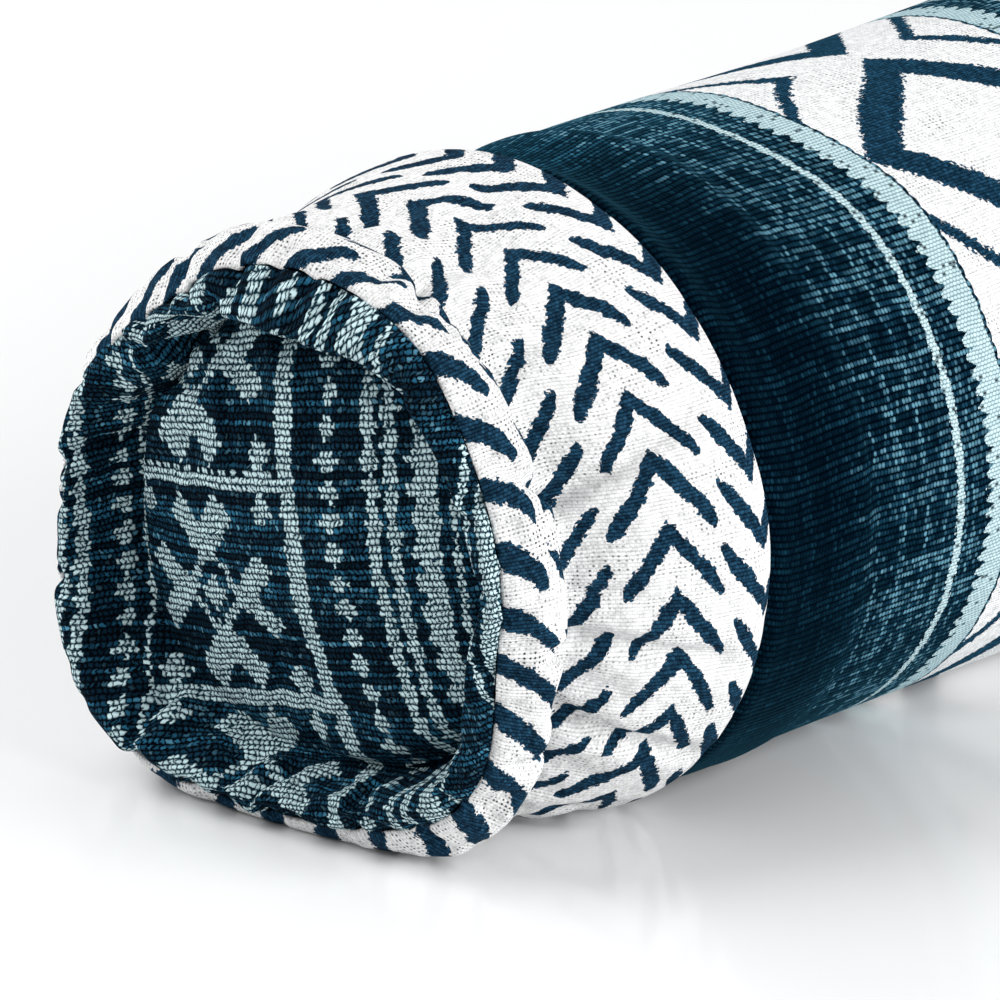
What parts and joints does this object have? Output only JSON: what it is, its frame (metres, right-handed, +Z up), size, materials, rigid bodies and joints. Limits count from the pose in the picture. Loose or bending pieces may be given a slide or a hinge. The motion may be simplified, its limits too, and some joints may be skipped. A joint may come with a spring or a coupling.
{
  "type": "bolster cushion",
  "caption": "Filled round bolster cushion lying on its side, with a woven middle, wrapped chevron bands and dished, puckered round end panels.",
  "frame": {"origin": "on the surface the bolster lies on, below the middle of its length and width", "axes": "+X along the bolster, from the near end to the far end; +Z up"},
  "size_m": [0.5164, 0.2184, 0.195],
  "materials": {
    "middle_cloth": "woven cotton, navy with a light stripe, a light border and a white field of diamond outlines",
    "band_cloth": "coarse off-white woven cotton with broken navy chevrons",
    "end_cloth": "coarse navy woven cotton with light stripes and stars"
  },
  "bodies": {
    "root": {"filled_body": "middle_cloth", "near_band": "band_cloth", "far_band": "band_cloth", "near_end_panel": "end_cloth", "far_end_panel": "end_cloth"}
  },
  "joints": []
}
